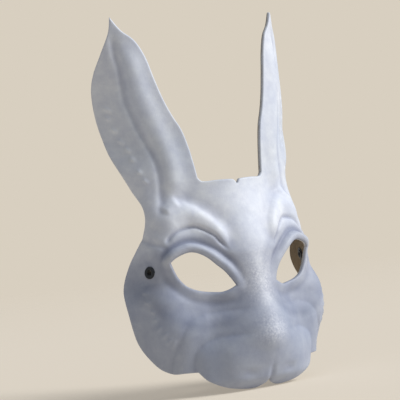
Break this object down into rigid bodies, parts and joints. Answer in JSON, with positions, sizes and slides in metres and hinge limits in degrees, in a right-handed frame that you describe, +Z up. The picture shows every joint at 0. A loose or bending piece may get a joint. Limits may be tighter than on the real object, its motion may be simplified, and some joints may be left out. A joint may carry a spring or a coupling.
{
  "type": "rabbit half mask",
  "caption": "White moulded leather half mask in the shape of a rabbit, with tall upright ears, almond eye openings and a black lacing eyelet at each temple.",
  "frame": {"origin": "The point behind the bridge of the mask where the wearer's face meets it, on the centre plane at eye level.", "axes": "+Z is up along the face, +Y points back into the wearer's head, +X is to the wearer's left. The mask looks along -Y."},
  "size_m": [0.1704, 0.0807, 0.2756],
  "materials": {
    "leather": "vegetable-tanned leather painted white, with a soft sheen and light frosting on the raised parts",
    "black_enamel": "satin black enamel on pressed brass"
  },
  "bodies": {
    "root": {"leather_shell": "leather", "right_eyelet": "black_enamel", "right_eyelet_washer": "black_enamel", "left_eyelet": "black_enamel", "left_eyelet_washer": "black_enamel"}
  },
  "joints": []
}
